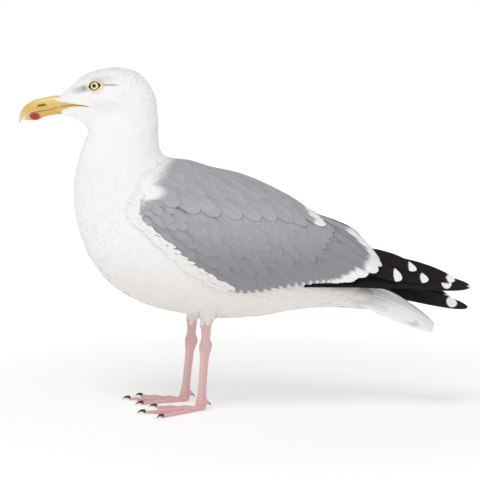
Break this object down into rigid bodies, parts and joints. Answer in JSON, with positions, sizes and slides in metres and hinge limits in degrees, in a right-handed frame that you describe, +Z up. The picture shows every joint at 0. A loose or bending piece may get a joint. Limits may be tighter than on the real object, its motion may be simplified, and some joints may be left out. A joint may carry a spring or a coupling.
{
  "type": "herring gull",
  "caption": "Life-size still model of a standing adult herring gull with folded wings, webbed feet and a hooked bill.",
  "frame": {"origin": "the middle of the bird's outline on the floor it stands on, midway between bill tip and wing tip", "axes": "+Z up; the bird looks along -X and its tail points along +X; its left side faces -Y"},
  "size_m": [0.539, 0.1516, 0.4092],
  "materials": {
    "feathered_flesh": "matte",
    "white_feathers": "matte",
    "grey_feathers": "matte",
    "black_feathers": "matte",
    "bill_horn": "satin",
    "eye": "gloss",
    "bare_eye_skin": "satin",
    "leg_skin": "satin",
    "claw_horn": "satin"
  },
  "bodies": {
    "root": {"head": "feathered_flesh", "neck": "feathered_flesh", "trunk": "feathered_flesh", "tail": "white_feathers", "bill_upper": "bill_horn", "bill_lower": "bill_horn", "eye_left": "eye", "eye_ring_left": "bare_eye_skin", "wing_left": "grey_feathers", "tertials_left": "grey_feathers", "primary_6_left": "black_feathers", "primary_7_left": "black_feathers", "primary_8_left": "black_feathers", "primary_9_left": "black_feathers", "primary_10_left": "black_feathers", "thigh_left": "feathered_flesh", "tarsus_left": "leg_skin", "toe_1_left": "leg_skin", "toe_2_left": "leg_skin", "toe_3_left": "leg_skin", "toe_4_left": "leg_skin", "web_inner_left": "leg_skin", "web_outer_left": "leg_skin", "claw_1_left": "claw_horn", "claw_2_left": "claw_horn", "claw_3_left": "claw_horn", "claw_4_left": "claw_horn", "eye_right": "eye", "eye_ring_right": "bare_eye_skin", "wing_right": "grey_feathers", "tertials_right": "grey_feathers", "primary_6_right": "black_feathers", "primary_7_right": "black_feathers", "primary_8_right": "black_feathers", "primary_9_right": "black_feathers", "primary_10_right": "black_feathers", "thigh_right": "feathered_flesh", "tarsus_right": "leg_skin", "toe_1_right": "leg_skin", "toe_2_right": "leg_skin", "toe_3_right": "leg_skin", "toe_4_right": "leg_skin", "web_inner_right": "leg_skin", "web_outer_right": "leg_skin", "claw_1_right": "claw_horn", "claw_2_right": "claw_horn", "claw_3_right": "claw_horn", "claw_4_right": "claw_horn"}
  },
  "joints": []
}
